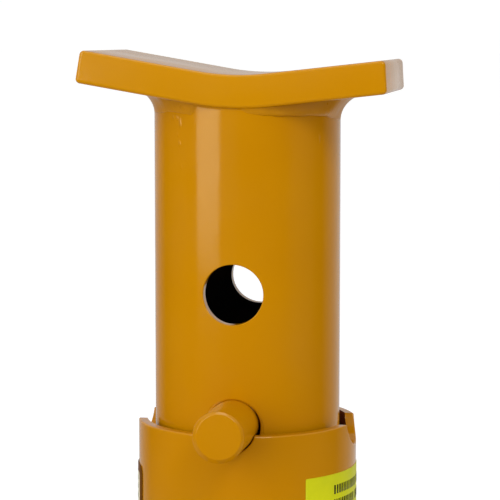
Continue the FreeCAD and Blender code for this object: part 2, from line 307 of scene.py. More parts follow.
class Nodes:
    """Short names for building a node tree."""

    def __init__(self, name):
        self.material = bpy.data.materials.new(name)
        self.material.use_nodes = True
        self.tree = self.material.node_tree
        self.tree.nodes.clear()
        self.place = None

    def add(self, kind, **settings):
        node = self.tree.nodes.new(kind)
        for key, value in settings.items():
            setattr(node, key, value)
        return node

    def link(self, source, target):
        self.tree.links.new(source, target)

    def position(self):
        if self.place is None:
            self.place = self.add("ShaderNodeTexCoord").outputs["Object"]
        return self.place

    def noise(self, scale, detail=3.0, roughness=0.5):
        node = self.add("ShaderNodeTexNoise")
        node.inputs["Scale"].default_value = scale
        node.inputs["Detail"].default_value = detail
        node.inputs["Roughness"].default_value = roughness
        self.link(self.position(), node.inputs["Vector"])
        return node.outputs["Fac"]

    def ramp(self, source, low, high, out_low=0.0, out_high=1.0):
        node = self.add("ShaderNodeMapRange")
        node.inputs["From Min"].default_value = low
        node.inputs["From Max"].default_value = high
        node.inputs["To Min"].default_value = out_low
        node.inputs["To Max"].default_value = out_high
        self.link(source, node.inputs["Value"])
        return node.outputs["Result"]

    def mix(self, factor, first, second):
        node = self.add("ShaderNodeMix", data_type="RGBA")
        self.link(factor, node.inputs["Factor"])
        for socket, value in ((node.inputs["A"], first), (node.inputs["B"], second)):
            if isinstance(value, tuple):
                socket.default_value = value
            else:
                self.link(value, socket)
        return node.outputs["Result"]

    def math(self, operation, first, second):
        node = self.add("ShaderNodeMath", operation=operation)
        self.link(first, node.inputs[0])
        self.link(second, node.inputs[1])
        return node.outputs["Value"]

    def bump(self, height, strength, distance, below=None):
        node = self.add("ShaderNodeBump")
        node.inputs["Strength"].default_value = strength
        node.inputs["Distance"].default_value = distance
        self.link(height, node.inputs["Height"])
        if below is not None:
            self.link(below, node.inputs["Normal"])
        return node.outputs["Normal"]

    def surface(self, **sockets):
        shader = self.add("ShaderNodeBsdfPrincipled")
        for name, value in sockets.items():
            socket = shader.inputs[name.replace("_", " ")]
            if isinstance(value, (int, float, tuple)):
                socket.default_value = value
            else:
                self.link(value, socket)
        self.output = self.add("ShaderNodeOutputMaterial")
        self.link(shader.outputs["BSDF"], self.output.inputs["Surface"])
        return self.material


# The paint's two tones; the saddle's copy of the paint is a touch lighter than the tubes', painted light for
# the brighter light on the saddle's face.
AMBER = (0.60, 0.246, 0.0, 1)
AMBER_DEEP = (0.575, 0.230, 0.0, 1)
AMBER_SADDLE_LIT = (0.645, 0.270, 0.0, 1)
AMBER_SADDLE_LIT_DEEP = (0.62, 0.255, 0.0, 1)


def amber_paint(name, light, deep, smoothest=0.11, roughest=0.17, shine=0.62):
    """Glossy enamel on steel: orange peel, a slow drift in tone and a few specks under the coat."""
    made = Nodes(name)
    drift = made.ramp(made.noise(18, 2.0), 0.35, 0.65)
    tone = made.mix(drift, deep, light)
    peel = made.noise(650, 2.0, 0.45)
    waves = made.noise(90, 1.0)
    specks = made.ramp(made.noise(1400, 1.0), 0.70, 0.80)
    normal = made.bump(waves, 0.10, 0.0006)
    normal = made.bump(peel, 0.22, 0.00012, normal)
    normal = made.bump(specks, 0.25, 0.00005, normal)
    gloss = made.ramp(made.noise(45, 3.0), 0.3, 0.7, smoothest, roughest)
    return made.surface(Base_Color=tone, Roughness=gloss, Normal=normal, Specular_IOR_Level=shine,
                        Specular_Tint=(1.0, 0.97, 0.68, 1))


def zinc_wire():
    """Bright zinc plate on drawn wire: a fine grain along the wire and a faint dull bloom."""
    made = Nodes("zinc_plate")
    bloom = made.ramp(made.noise(220, 4.0), 0.35, 0.7)
    tone = made.mix(bloom, (0.66, 0.66, 0.64, 1), (0.50, 0.51, 0.50, 1))
    gloss = made.ramp(made.noise(500, 3.0), 0.3, 0.7, 0.22, 0.42)
    normal = made.bump(made.noise(1800, 2.0), 0.15, 0.00005)
    return made.surface(Base_Color=tone, Metallic=1.0, Roughness=gloss, Normal=normal)


def inner_wall(name, plain_tone, patch_tone):
    """The inner wall of a tube in two tones mixed in patches: for the post, mill scale with rusty patches;
    for the base tube, thin amber spray darkened to the red-brown that the paint shows deep inside, which is
    painted shade.
    """
    made = Nodes(name)
    patchiness = made.ramp(made.noise(70, 5.0, 0.6), 0.55, 0.75)
    tone = made.mix(patchiness, plain_tone, patch_tone)
    gloss = made.ramp(made.noise(160, 3.0), 0.3, 0.7, 0.45, 0.75)
    normal = made.bump(made.noise(500, 4.0, 0.6), 0.3, 0.0001)
    return made.surface(Base_Color=tone, Roughness=gloss, Normal=normal)


def printed_film(name, light, dark, shine=0.35):
    """Gloss vinyl film: a faint mottle from the glue under it."""
    made = Nodes(name)
    mottle = made.ramp(made.noise(160, 3.0), 0.35, 0.7)
    tone = made.mix(mottle, light, dark)
    gloss = made.ramp(made.noise(300, 2.0), 0.3, 0.7, 0.28, 0.4)
    normal = made.bump(made.noise(420, 2.0), 0.12, 0.00008)
    return made.surface(Base_Color=tone, Roughness=gloss, Normal=normal, Specular_IOR_Level=shine,
                        Specular_Tint=(1.0, 1.0, 0.7, 1))


PAINT = amber_paint("amber_enamel", AMBER, AMBER_DEEP)
# The saddle's paint: a lighter copy of the amber, painted light for its brighter face.
SADDLE_LIT_PAINT = amber_paint("amber_enamel_saddle_lit", AMBER_SADDLE_LIT, AMBER_SADDLE_LIT_DEEP)
WELD_PAINT = amber_paint("amber_enamel_weld", AMBER, AMBER_DEEP, 0.24, 0.38, 0.38)
ZINC = zinc_wire()
MILL_SCALE = inner_wall("inner_wall", (0.018, 0.017, 0.016, 1), (0.045, 0.024, 0.012, 1))
# The base tube's bore: thin amber spray darkened to red-brown, painted shade for the deep inside of the tube.
BORE_PAINTED_SHADE = inner_wall("bore_painted_shade", (0.16, 0.035, 0.008, 1), (0.24, 0.06, 0.01, 1))
RATING_FILM = printed_film("rating_film", (0.71, 0.71, 0.0, 1), (0.66, 0.67, 0.0, 1))
CARE_FILM = printed_film("care_film", (0.80, 0.74, 0.55, 1), (0.74, 0.68, 0.50, 1))
BORDER_INK = printed_film("border_ink", (0.15, 0.055, 0.008, 1), (0.19, 0.07, 0.01, 1), 0.05)
INK = printed_film("ink", (0.012, 0.014, 0.006, 1), (0.02, 0.022, 0.01, 1), 0.1)


# ---------------------------------------------------------------- post

SADDLE_SURFACE = surface_of("saddle_plate")


def underside(x, y):
    """Height of the saddle's underside above a point; points past its edge take the edge's height."""
    edge = SADDLE_WIDTH / 2 - 2 * MM
    y = max(-edge, min(edge, y))
    well_below = RIM_Z + 100 * MM
    hit = SADDLE_SURFACE.ray_cast(Vector((x, y, well_below)), Vector((0, 0, 1)))
    return hit[0].z


def make_post():
    low = POST_LOW.z
    high = POST_HIGH.z
    profile = [(POST_BORE, low)] + rounded_corner(POST_RADIUS, low, POST_EDGE, up=False)
    profile += [(POST_RADIUS, high), (POST_BORE, high)]
    post = turned_tube("post_tube", profile)
    for vertex in post.data.vertices:
        if vertex.co.z > high - 1 * MM:
            vertex.co.z = underside(vertex.co.x, vertex.co.y)
    post.data.materials.append(PAINT)
    post.data.materials.append(MILL_SCALE)
    cutters = []
    for i in range(HOLE_COUNT):
        centre = Vector((0, 0, TOP_HOLE_Z - i * HOLE_PITCH))
        for outwards in (FRONT, REAR):
            cutters.append(flared_cutter(outwards, centre, HOLE_RADIUS, POST_RADIUS, POST_EDGE))
    cut(post, cutters)
    inner_wall_material(post, POST_BORE)
    soften(post, 0.1 * MM, 2, 40)
    even_shading(post)
    finish_piece(post, "column", None, "amber_paint", "post")


# ---------------------------------------------------------------- saddle

def arm_point(arm, depth):
    """The (x, z) point a length out along the right arm and a depth below its top surface."""
    return (arm * math.cos(SADDLE_ARM) + depth * math.sin(SADDLE_ARM),
            arm * math.sin(SADDLE_ARM) - depth * math.cos(SADDLE_ARM))


def saddle_line(depth, right_arm, steps=14):
    """Points (x, z) along the bar at a depth below its top surface, from the left end to the right end."""
    radius = SADDLE_BEND + depth
    centre_z = SADDLE_BEND / math.cos(SADDLE_ARM)
    left = arm_point(SADDLE_LEFT_ARM, depth)
    points = [(-left[0], left[1])]
    for i in range(steps + 1):
        angle = SADDLE_ARM * (2 * i / steps - 1)
        points.append((radius * math.sin(angle), centre_z - radius * math.cos(angle)))
    points.append(arm_point(right_arm, depth))
    return points


def rounded_outline(points, corners, radius, steps=6):
    """A closed (x, z) outline with some of its corners, given by index, turned into arcs."""
    rounded = []
    for i, here in enumerate(points):
        if i not in corners:
            rounded.append(Vector(here))
            continue
        corner = Vector(here)
        before = (Vector(points[i - 1]) - corner).normalized()
        after = (Vector(points[(i + 1) % len(points)]) - corner).normalized()
        half = before.angle(after) / 2
        start = corner + before * radius / math.tan(half)
        end = corner + after * radius / math.tan(half)
        middle = corner + (before + after).normalized() * radius / math.sin(half)
        for k in range(steps + 1):
            spoke = (start - middle).lerp(end - middle, k / steps)
            rounded.append(middle + spoke.normalized() * radius)
    return rounded


def make_saddle():
    """The bent bar: its ends are rounded off and its long edges worn round."""
    top = saddle_line(0, SADDLE_RIGHT_ARM)
    bottom = saddle_line(SADDLE_THICKNESS, SADDLE_RIGHT_ARM - SADDLE_RIGHT_UNDERCUT)
    row = len(top)
    outline = rounded_outline(top + bottom[::-1], (0, row - 1, row, 2 * row - 1), SADDLE_END_RADIUS)
    count = len(outline)
    inwards = []
    for i in range(count):
        along = (outline[(i + 1) % count] - outline[i - 1]).normalized()
        inwards.append(Vector((along.y, -along.x)))
    half = SADDLE_WIDTH / 2
    rounding = []
    steps = 5
    for k in range(steps + 1):
        bend = math.pi / 2 * k / steps
        rounding.append((SADDLE_EDGE * (1 - math.sin(bend)), half - SADDLE_EDGE * (1 - math.cos(bend))))
    rows = [(inset, -y) for inset, y in rounding] + [(inset, y) for inset, y in rounding[::-1]]
    verts = []
    for inset, y in rows:
        for point, inward in zip(outline, inwards):
            moved = point + inward * inset
            verts.append((moved.x, y, moved.y))
    plate = new_piece("saddle_bar", verts, capped_faces(len(rows), count))
    plate.data.transform(Matrix.Translation((0, 0, SADDLE_V_Z)) @ Matrix.Rotation(SADDLE_LEAN, 4, "Y"))
    soften(plate, 0.05 * MM, 1, 40)
    # The lighter copy of the paint is painted light on the saddle's face.
    finish_piece(plate, "column", SADDLE_LIT_PAINT, "amber_paint", "saddle_plate")


# Places round the post, in degrees from the front towards +X: how far the hand-laid bead reaches down
# the post and out under the saddle, and how far its face bulges, in millimetres.
WELD_SHAPE = (
    (-180, 0.8, 0.8, 0.0), (-160, 3.0, 2.8, 0.2), (-135, 6.5, 6.2, 0.3), (-110, 8.2, 8.0, 0.1),
    (-90, 8.4, 8.1, 0.0), (-66, 7.8, 7.2, 0.0), (-54, 6.6, 5.2, 0.2), (-46, 5.4, 2.0, 0.5),
    (-38, 5.0, 1.5, 0.5), (-27, 4.6, 1.4, 0.4), (-22, 0.9, 0.8, 0.0), (4, 0.8, 0.8, 0.0),
    (12, 2.4, 1.2, 0.3), (20, 3.4, 1.9, 0.8), (30, 4.3, 2.0, 1.6), (45, 5.2, 2.3, 2.0),
    (60, 6.2, 2.9, 2.1), (72, 7.6, 5.6, 1.2), (82, 8.6, 8.2, 0.4), (95, 8.8, 8.5, 0.1),
    (120, 8.0, 7.7, 0.4), (150, 5.0, 4.8, 0.3), (180, 0.8, 0.8, 0.0),
)


def weld_shape(degrees):
    """The bead's drop, reach and bulge at any place round the post, eased between the listed places."""
    for first, last in zip(WELD_SHAPE, WELD_SHAPE[1:]):
        if first[0] <= degrees <= last[0]:
            share = (degrees - first[0]) / (last[0] - first[0])
            ease = share * share * (3 - 2 * share)
            return [(first[k] + (last[k] - first[k]) * ease) * MM for k in (1, 2, 3)]
    return [value * MM for value in WELD_SHAPE[0][1:]]


def make_saddle_weld():
    """The fillet between post and saddle, with the faint ripples of a hand-laid bead."""
    around = 900
    across = 18
    root_depth = 0.5 * MM
    least_reach = 0.5 * MM
    full_size = 5 * MM
    lump_height = 0.15 * MM
    ripple_height = 0.018 * MM
    ripple_pitch = 2.3 * MM
    step = 2 * math.pi * POST_RADIUS / around * 2 * math.pi / ripple_pitch
    rng = random.Random(4)
    ripple = 0.0
    verts = []
    for i in range(around):
        degrees = 360 * i / around - 180
        angle = math.radians(degrees)
        ripple += step * (0.4 + 1.2 * rng.random())
        drop, reach, bulge = weld_shape(degrees)
        overhang = (SADDLE_WIDTH / 2 - 0.6 * MM) / max(abs(math.cos(angle)), 0.05) - POST_RADIUS
        reach = max(min(reach, overhang), least_reach)
        outer = Vector((math.sin(angle), -math.cos(angle), 0))
        top = underside(*(outer * (POST_RADIUS + reach)).xy)
        root = underside(*(outer * POST_RADIUS).xy)
        turn = 2 * math.atan(reach / drop)
        hollow = drop / math.sin(turn)
        lump = lump_height * math.sin(9 * angle + 1.0) * math.sin(4 * angle)
        size = min(1.0, drop / full_size)
        for j in range(across + 1):
            share = j / across
            t = turn * share
            swell = math.sin(math.pi * share ** 0.8)
            rise = size * swell * (ripple_height * math.sin(ripple + 1.3 * swell) + lump) + bulge * swell
            radius = POST_RADIUS + hollow * (1 - math.cos(t)) + 0.8 * rise
            z = root - drop + hollow * math.sin(t) + (top - root) * share ** 2 - 0.6 * rise
            verts.append(outer * radius + Vector((0, 0, z)))
        verts.append(outer * (POST_RADIUS - root_depth) + Vector((0, 0, root + 0.3 * MM)))
        verts.append(outer * (POST_RADIUS - root_depth) + Vector((0, 0, root - drop)))
    weld = new_piece("saddle_fillet", verts, looped_faces(around, across + 3))
    finish_piece(weld, "column", WELD_PAINT, "amber_paint", "saddle_weld")


# Thick places in the coat under the weld: degrees round the post, depth below the saddle's bend,
# half length up the post and height of the swelling, in millimetres.
PAINT_RUNS = (
    (-41.0, 16.3, 0.9, 0.14), (-38.0, 16.4, 1.0, 0.18), (-35.4, 18.4, 2.6, 0.22), (-36.0, 26.4, 1.3, 0.18),
    (-37.4, 23.0, 0.8, 0.10), (57.5, 24.3, 2.2, 0.14), (-34.6, 35.6, 1.0, 0.10),
)


def make_paint_runs():
    """Small runs of enamel on the post, as low mounds that sink into its surface at their edges."""
    pieces = []
    rings = 7
    around = 20
    half_width = 0.9 * MM
    for degrees, depth, half_length, height in PAINT_RUNS:
        centre = math.radians(degrees)
        z = SADDLE_V_Z - depth * MM
        verts = []
        for i in range(rings + 1):
            share = i / rings
            rise = (height + 0.05) * MM * math.cos(share * math.pi / 2) ** 1.3 - 0.05 * MM
            for j in range(around):
                turn = 2 * math.pi * j / around
                angle = centre + share * half_width * math.cos(turn) / POST_RADIUS
                outer = Vector((math.sin(angle), -math.cos(angle), 0))
                up = share * (half_length + 0.6) * MM * math.sin(turn)
                verts.append(outer * (POST_RADIUS + rise) + Vector((0, 0, z + up)))
        inner = Vector((math.sin(centre), -math.cos(centre), 0)) * (POST_RADIUS - 0.3 * MM)
        verts.append(inner + Vector((0, 0, z)))
        faces = side_faces(rings + 1, around)
        rim = rings * around
        for j in range(around):
            faces.append((rim + j, rim + (j + 1) % around, len(verts) - 1))
        pieces.append(new_piece("run", verts, faces))
    runs = joined("paint_runs", pieces)
    finish_piece(runs, "column", PAINT, "amber_paint")


# ---------------------------------------------------------------- locking pin

def pin_end():
    """(radius, depth) points of the pin's chamfered end, with both corners of the chamfer rounded."""
    steps = PIN_END_ROWS // 2 - 1
    back = PIN_EDGE * math.tan(math.radians(22.5))
    points = []
    for radius, depth, slant in ((PIN_RADIUS - PIN_CHAMFER - back, PIN_EDGE, 0),
                                 (PIN_RADIUS - PIN_EDGE, PIN_CHAMFER + back, 45)):
        for i in range(steps + 1):
            angle = math.radians(slant) + math.radians(45) * i / steps
            points.append((radius + PIN_EDGE * math.sin(angle), depth - PIN_EDGE * math.cos(angle)))
    return points


def make_pin():
    """The pin; its front chamfer was ground by hand, a little off centre."""
    end = pin_end()
    profile = [(radius, PIN_FRONT + depth) for radius, depth in end]
    profile += [(radius, PIN_REAR - depth) for radius, depth in end[::-1]]
    segments = 160
    verts = []
    for row, (radius, y) in enumerate(profile):
        skew = PIN_SKEW if row < PIN_END_ROWS // 2 else Vector((0, 0, 0))
        for i in range(segments):
            angle = 2 * math.pi * i / segments
            verts.append(skew + Vector((radius * math.cos(angle), y, radius * math.sin(angle))))
    pin = new_piece("cross_pin", verts, capped_faces(len(profile), segments))
    eye = RING_WIRE + RING_PLAY
    reach = PIN_RADIUS + 2 * MM
    cut(pin, [rod(Vector((-reach, RING_EYE, 0)), Vector((reach, RING_EYE, 0)), eye, 64)])
    place = Matrix.Translation((0, 0, PIN_Z)) @ Matrix.Rotation(-PIN_TIP, 4, "X")
    pin.data.transform(place)
    soften(pin, 0.1 * MM, 2, 40)
    finish_piece(pin, "pin", PAINT, "amber_paint", "locking_pin")


def make_gap_fill_paint_and_light():
    """Enamel in the gap over the pin, inside the post's hole: closed at the narrowest part, then a ridge. Its
    amber also covers the shade that the gap would show, as painted light for light bounced into the gap.
    """
    front = POST_RADIUS - 0.12 * MM
    depth = 3.0 * MM
    sunk = 0.2 * MM
    overlap = 0.22 * MM
    play = 0.06 * MM
    hole = Vector((0, 0, TOP_HOLE_Z - HOLE_PITCH))
    first_degrees, sweep_degrees = -72, 178
    thin_from, thin_over = 16, 40
    steps = 72
    verts = []
    for i in range(steps + 1):
        degrees = first_degrees + sweep_degrees * i / steps
        thinning = min(max((degrees - thin_from) / thin_over, 0), 1)
        closed = 1 - 0.5 * thinning * thinning * (3 - 2 * thinning)
        angle = math.radians(degrees)
        spoke = Vector((math.sin(angle), 0, math.cos(angle)))
        outer = hole + spoke * (HOLE_RADIUS + overlap)
        for back in (0.0, depth):
            y = -math.sqrt(front ** 2 - outer.x ** 2) + back
            pin_z = PIN_Z - y * math.tan(PIN_TIP)
            centre = Vector((0, 0, hole.z - pin_z))
            along = centre.dot(spoke)
            reach = -along + math.sqrt(along ** 2 - centre.length_squared + (PIN_RADIUS + play) ** 2)
            inner = hole + spoke * (HOLE_RADIUS - closed * (HOLE_RADIUS - min(reach, HOLE_RADIUS)))
            verts.append(Vector((outer.x, y, outer.z)))
            verts.append(Vector((inner.x, y + (0.0 if back else sunk), inner.z)))
    faces = [(0, 1, 3, 2), tuple(4 * steps + k for k in (0, 1, 3, 2))]
    for i in range(steps):
        a = 4 * i
        for first, second in ((0, 1), (1, 3), (3, 2), (2, 0)):
            faces.append((a + first, a + second, a + 4 + second, a + 4 + first))
    gap_fill = new_piece("gap_fill_paint_and_light", verts, faces)
    finish_piece(gap_fill, "column", PAINT, "amber_paint")


# ---------------------------------------------------------------- base tube

def make_base_tube():
    low = TUBE_LOW.z
    profile = [(TUBE_BORE, low)] + rounded_corner(TUBE_RADIUS, low, TUBE_EDGE, up=False)
    profile += rounded_corner(TUBE_RADIUS, RIM_Z, TUBE_EDGE, up=True) + [(TUBE_BORE, RIM_Z)]
    tube = turned_tube("base_tube_shell", profile)
    tube.data.materials.append(PAINT)
    # The second material is painted shade: the red-brown of the amber paint deep inside the tube.
    tube.data.materials.append(BORE_PAINTED_SHADE)
    cutters = []
    for outwards, y, z, radius in (
            (FRONT, 0.0, FRONT_NOTCH_Z, FRONT_NOTCH_RADIUS), (REAR, 0.0, REAR_NOTCH_Z, REAR_NOTCH_RADIUS),
            (RIGHT, RIGHT_NOTCH_OFFSET, RIGHT_NOTCH_Z, RIGHT_NOTCH_RADIUS),
            (LEFT, LEFT_NOTCH_OFFSET, LEFT_NOTCH_Z, LEFT_NOTCH_RADIUS)):
        cutters.append(flared_cutter(outwards, Vector((0, y, z)), radius, TUBE_RADIUS, TUBE_EDGE))
    cut(tube, cutters)
    inner_wall_material(tube, TUBE_BORE)
    soften(tube, 0.1 * MM, 2, 40)
    even_shading(tube)
    finish_piece(tube, "base", None, "amber_paint", "base_tube")


# ---------------------------------------------------------------- labels

def wrapped_patch(name, start, sweep, low, high, corner, radius, thickness):
    """A thin sticker on the base tube with rounded corners; angles run from the front towards +X."""
    width = sweep * radius
    least_height = 0.001 * MM
    corner_places = []
    steps = 8
    for middle, first in ((width - corner, 0), (corner, 90)):
        for i in range(steps + 1):
            corner_places.append(middle + corner * math.cos(math.radians(first + 90 * i / steps)))
    columns = max(2, int(math.degrees(sweep) / 1.5))
    lines = sorted({round(width * i / columns, 7) for i in range(columns + 1)} |
                   {round(x, 7) for x in corner_places})

    def edge_heights(x):
        """Where the sticker's lower and upper edges lie, a distance along it."""
        inset = 0.0
        if x < corner:
            inset = corner - math.sqrt(max(corner ** 2 - (corner - x) ** 2, 0))
        elif x > width - corner:
            inset = corner - math.sqrt(max(corner ** 2 - (x - width + corner) ** 2, 0))
        return low + inset, high - inset

    verts = []
    for x in lines:
        angle = start + x / radius
        outer = Vector((math.sin(angle), -math.cos(angle), 0))
        bottom, top = edge_heights(x)
        top = max(top, bottom + least_height)
        face = radius + thickness
        for r, z in ((radius, bottom), (face, bottom), (face, top), (radius, top)):
            verts.append(outer * r + Vector((0, 0, z)))
    return new_piece(name, verts, capped_faces(len(lines), 4))


def joined(name, pieces):
    """Several meshes as one piece."""
    shell = bmesh.new()
    for piece in pieces:
        shell.from_mesh(piece.data)
        bpy.data.objects.remove(piece)
    mesh = bpy.data.meshes.new(name)
    shell.to_mesh(mesh)
    shell.free()
    whole = bpy.data.objects.new(name, mesh)
    bpy.context.scene.collection.objects.link(whole)
    return whole


RATING_START = math.radians(40)
RATING_SWEEP = math.radians(96)
RATING_TOP = RIM_Z - 18.3 * MM
CARE_START = math.radians(-134)
CARE_SWEEP = math.radians(70)
CARE_TOP = RIM_Z - 18.7 * MM
LABEL_HEIGHT = 50 * MM
FILM = 0.2 * MM
CARE_FILM_THICKNESS = 0.5 * MM
PRINT = 0.06 * MM


def print_block(start, top, left, width, height, corner, film=FILM):
    """A patch of print on a film; left and width run along the tube from the label's own start."""
    surface = TUBE_RADIUS + film
    return wrapped_patch("print", start + left / surface, width / surface, top - height, top,
                         corner, surface, PRINT)


# Rows of generic marks: height and gap below it in millimetres, and the share of the line that it fills.
PRINT_ROWS = ((3.6, 2.2, 0.85), (3.6, 3.0, 0.6), (1.8, 1.2, 1.0), (1.8, 1.2, 0.93), (1.8, 1.2, 0.97),
              (1.8, 1.2, 0.55), (1.8, 2.6, 0.9), (2.6, 1.8, 0.7), (1.8, 1.2, 0.95), (1.8, 1.2, 0.4))


def make_rating_label():
    low = RATING_TOP - LABEL_HEIGHT
    film = wrapped_patch("rating_sticker", RATING_START, RATING_SWEEP, low, RATING_TOP, 0.8 * MM,
                         TUBE_RADIUS, FILM)
    finish_piece(film, "base", RATING_FILM, "rating_film", "rating_label")
    rng = random.Random(11)
    blocks = []
    margin = 15.5 * MM
    line = RATING_SWEEP * TUBE_RADIUS - 6 * MM - margin
    top = RATING_TOP - 4.6 * MM
    for height, gap, share in PRINT_ROWS:
        left = margin
        letters = rng.randint(6, 14)
        while left < margin + line * share:
            width = height * rng.uniform(0.16, 0.30) * MM
            blocks.append(print_block(RATING_START, top, left, width, height * MM, 0.15 * MM))
            left += width + rng.uniform(0.16, 0.26) * height * MM
            letters -= 1
            if letters == 0:
                left += 0.5 * height * MM
                letters = rng.randint(4, 16)
        top -= (height + gap) * MM
    ink = joined("rating_print", blocks)
    finish_piece(ink, "base", INK, "rating_film")


def make_care_label():
    """A brown sticker with a cream panel on it, which leaves a brown border all round."""
    low = CARE_TOP - LABEL_HEIGHT
    film = wrapped_patch("care_sticker", CARE_START, CARE_SWEEP, low, CARE_TOP, 3.5 * MM,
                         TUBE_RADIUS, CARE_FILM_THICKNESS)
    finish_piece(film, "base", BORDER_INK, "care_film", "care_label")
    full = CARE_SWEEP * TUBE_RADIUS
    edge = 3.0 * MM
    panel = print_block(CARE_START, CARE_TOP - edge, edge, full - 2 * edge, LABEL_HEIGHT - 2 * edge,
                        1.5 * MM, CARE_FILM_THICKNESS)
    panel.name = "care_panel"
    finish_piece(panel, "base", CARE_FILM, "care_film")
    rng = random.Random(5)
    blocks = []
    rows = 11
    row_pitch = 3.8 * MM
    row_height = 1.9 * MM
    letter_gap, word_gap = 0.4 * MM, 1.4 * MM
    top = CARE_TOP - 5 * MM
    for i in range(rows):
        left = 6 * MM
        while left < full - 8 * MM:
            width = rng.uniform(0.8, 1.3) * MM
            blocks.append(print_block(CARE_START, top, left, width, row_height, 0.2 * MM,
                                      CARE_FILM_THICKNESS + PRINT))
            left += width + (letter_gap if rng.random() < 0.8 else word_gap)
        top -= row_pitch
    ink = joined("care_print", blocks)
    finish_piece(ink, "base", INK, "care_film")


# ---------------------------------------------------------------- welds on the base

def weld_bead(path, radius, pitch=2.2 * MM):
    """A laid bead along a path: a round string of overlapping crescents."""
    around = 14
    length = sum((path[i + 1] - path[i]).length for i in range(len(path) - 1))
    steps = max(8, int(length / (pitch / 8)))
    rings = []
    for i in range(steps + 1):
        t = i / steps * (len(path) - 1)
        k = min(int(t), len(path) - 2)
        rings.append(path[k].lerp(path[k + 1], t - k))
    verts = []
    for i, centre in enumerate(rings):
        ahead = rings[min(i + 1, steps)] - rings[max(i - 1, 0)]
        turn = ahead.normalized().to_track_quat("Z", "Y").to_matrix()
        run = length * i / steps
        swell = 1 + 0.07 * math.cos(2 * math.pi * run / pitch)
        end = min(run, length - run) / (1.2 * radius)
        swell *= math.sqrt(max(1 - (1 - min(end, 1)) ** 2, 0.02))
        for j in range(around):
            angle = 2 * math.pi * j / around
            verts.append(centre + turn @ Vector((radius * swell * math.cos(angle),
                                                 radius * swell * math.sin(angle), 0)))
    return new_piece("bead", verts, capped_faces(steps + 1, around))


def quarter_turns(points):
    """The same path at all four corners."""
    return [[Matrix.Rotation(math.radians(angle), 4, "Z") @ p for p in points] for angle in (0, 90, 180, 270)]


LEG_POINTS = vertices_of("leg_rear_right")
LEG_TOP_Z = max(p.z for p in LEG_POINTS)
LEG_FOOT_Z = min(p.z for p in LEG_POINTS)
LEG_FOOT_HEEL = max(p.x for p in LEG_POINTS)
LEG_TOP_HEEL = max(p.x for p in LEG_POINTS if p.z > LEG_TOP_Z - 0.1 * MM)
LEG_FLANGE = 50 * MM
LEG_THICKNESS = 6 * MM
STRUT_LOW, STRUT_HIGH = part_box("strut_rear_right")
STRUT_HALF = 3 * MM
BRACE_LOW, BRACE_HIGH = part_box("brace_rear")


def heel_at(z):
    share = (z - LEG_FOOT_Z) / (LEG_TOP_Z - LEG_FOOT_Z)
    return LEG_FOOT_HEEL + share * (LEG_TOP_HEEL - LEG_FOOT_HEEL)


def bead_group(name, paths, radius, node):
    beads = [weld_bead(points, radius) for path in paths for points in quarter_turns(path)]
    group = joined(name, beads)
    finish_piece(group, "base", WELD_PAINT, "amber_paint", node)


def make_base_welds():
    slope = (LEG_FOOT_HEEL - LEG_TOP_HEEL) / (LEG_TOP_Z - LEG_FOOT_Z)
    low_z = LEG_FOOT_Z + (LEG_FOOT_HEEL - TUBE_RADIUS) / slope
    curve = []
    for i in range(13):
        z = LEG_TOP_Z - 1.0 * MM + (low_z - LEG_TOP_Z + 1.2 * MM) * i / 12
        across = heel_at(z)
        curve.append(Vector((math.sqrt(max(TUBE_RADIUS ** 2 - across ** 2, 0)), across, z)))
    other = [Vector((p.y, p.x, p.z)) for p in curve]
    bead_group("leg_beads", [curve, other], 3.3 * MM, "leg_welds")

    heel = LEG_FOOT_HEEL
    z = LEG_FOOT_Z
    long = [Vector((heel - LEG_FLANGE + 1 * MM, heel, z)), Vector((heel - 0.5 * MM, heel, z))]
    wide = [Vector((p.y, p.x, p.z)) for p in long]
    bead_group("foot_beads", [long, wide], 3.3 * MM, "foot_welds")

    end = BRACE_HIGH.x
    paths = []
    for x in (-end, end):
        low = Vector((x, heel_at(BRACE_LOW.z), BRACE_LOW.z + 1 * MM))
        high = Vector((x, heel_at(BRACE_HIGH.z), BRACE_HIGH.z - 1 * MM))
        paths.append([low, high])
    bead_group("brace_beads", paths, 2.4 * MM, "brace_welds")

    turn = Matrix.Rotation(math.radians(45), 3, "Z")
    at_tube = math.sqrt(TUBE_RADIUS ** 2 - STRUT_HALF ** 2)
    paths = []
    for y in (-STRUT_HALF, STRUT_HALF):
        for inner in (True, False):
            ends = []
            for z in (STRUT_LOW.z + 1 * MM, STRUT_HIGH.z - 1 * MM):
                x = at_tube if inner else (heel_at(z) - LEG_THICKNESS) * math.sqrt(2) - STRUT_HALF
                ends.append(turn @ Vector((x, y, z)))
            paths.append(ends)
    bead_group("strut_beads", paths, 2.6 * MM, "strut_welds")


# ---------------------------------------------------------------- plain steel pieces from the frame

def dress_frame_nodes():
    """Paint for the legs, feet, struts and braces, zinc for the ring.

    The braces' edges are rounded.  The others' stay nearly sharp, because their small corner arcs are
    made of short edges.
    """
    names = [kind + "_" + corner for kind in ("leg", "foot", "strut") for corner in CORNERS]
    names += ["brace_" + side for side in SIDES]
    for name in names:
        node = nodes[name]
        node.data.materials.clear()
        node.data.materials.append(PAINT)
        merge = node.modifiers.new("merge", "WELD")
        merge.merge_threshold = 0.01 * MM
        soften(node, 0.6 * MM, 3, 35)
        even_shading(node)
    ring = nodes["pull_ring"]
    ring.data.materials.clear()
    ring.data.materials.append(ZINC)


# ---------------------------------------------------------------- stage, light and camera

CAMERA_AZIMUTH = math.radians(9.207)
CAMERA_YAW = math.radians(9.140)
CAMERA_PITCH = math.radians(5.893)
CAMERA_DISTANCE = 841.3 * MM
CAMERA_Z = RIM_Z + 156.1 * MM
CAMERA_LENS = 147.95
BACKDROP_TURN = math.radians(15)
FILL_LIGHT = 0.47
PLAIN_WHITE = 1.02


